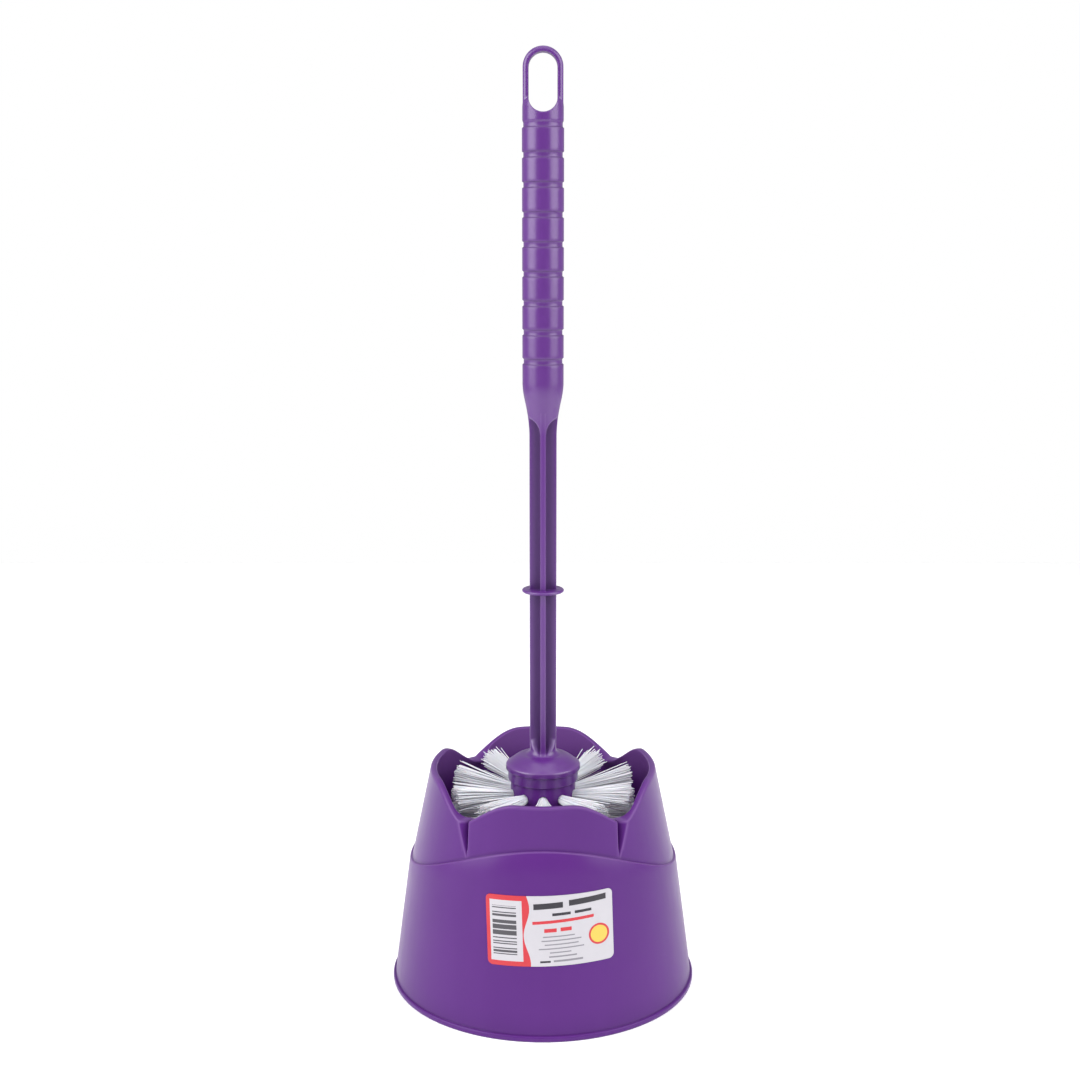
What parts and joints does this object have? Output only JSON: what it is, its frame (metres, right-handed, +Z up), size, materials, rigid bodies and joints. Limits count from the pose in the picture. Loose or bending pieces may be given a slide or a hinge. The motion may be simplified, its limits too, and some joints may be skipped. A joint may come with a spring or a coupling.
{
  "type": "toilet brush with holder",
  "caption": "Straight-handled toilet brush with a grooved grip and hanging loop, standing in an open conical holder with a petal-shaped rim.",
  "frame": {"origin": "centre of the holder's foot, on the surface that it stands on", "axes": "+Z up along the handle; the sticker is on the front, -Y; X and Y are the mouth's short and long axes"},
  "size_m": [0.13, 0.13, 0.3888],
  "materials": {
    "holder_plastic": "satin moulded polypropylene, purple",
    "tray_plastic": "satin moulded polypropylene, purple",
    "handle_plastic": "satin moulded polypropylene, purple",
    "core_plastic": "satin moulded polypropylene, purple",
    "sticker_film": "white printed film with a red panel",
    "bristle": "fine white polypropylene bristles",
    "staple_wire": "plain drawn wire"
  },
  "bodies": {
    "holder": {"holder_shell": "holder_plastic", "base_tray": "tray_plastic", "sticker": "sticker_film"},
    "brush": {"handle": "handle_plastic", "head_core": "core_plastic", "tufts_row_1": "bristle", "tufts_row_2": "bristle", "tufts_row_3": "bristle", "tufts_row_4": "bristle", "tufts_row_5": "bristle", "tufts_row_6": "bristle", "tufts_slanted_ring": "bristle", "tufts_end_ring": "bristle", "staples_row_1": "staple_wire", "staples_row_2": "staple_wire", "staples_row_3": "staple_wire", "staples_row_4": "staple_wire", "staples_row_5": "staple_wire", "staples_row_6": "staple_wire", "staples_slanted_ring": "staple_wire", "staples_end_ring": "staple_wire"}
  },
  "joints": [
    {"name": "brush_lift", "type": "slide", "parent": "holder", "child": "brush", "axis": [0, 0, 1], "range_m": [0, 0.13]}
  ]
}
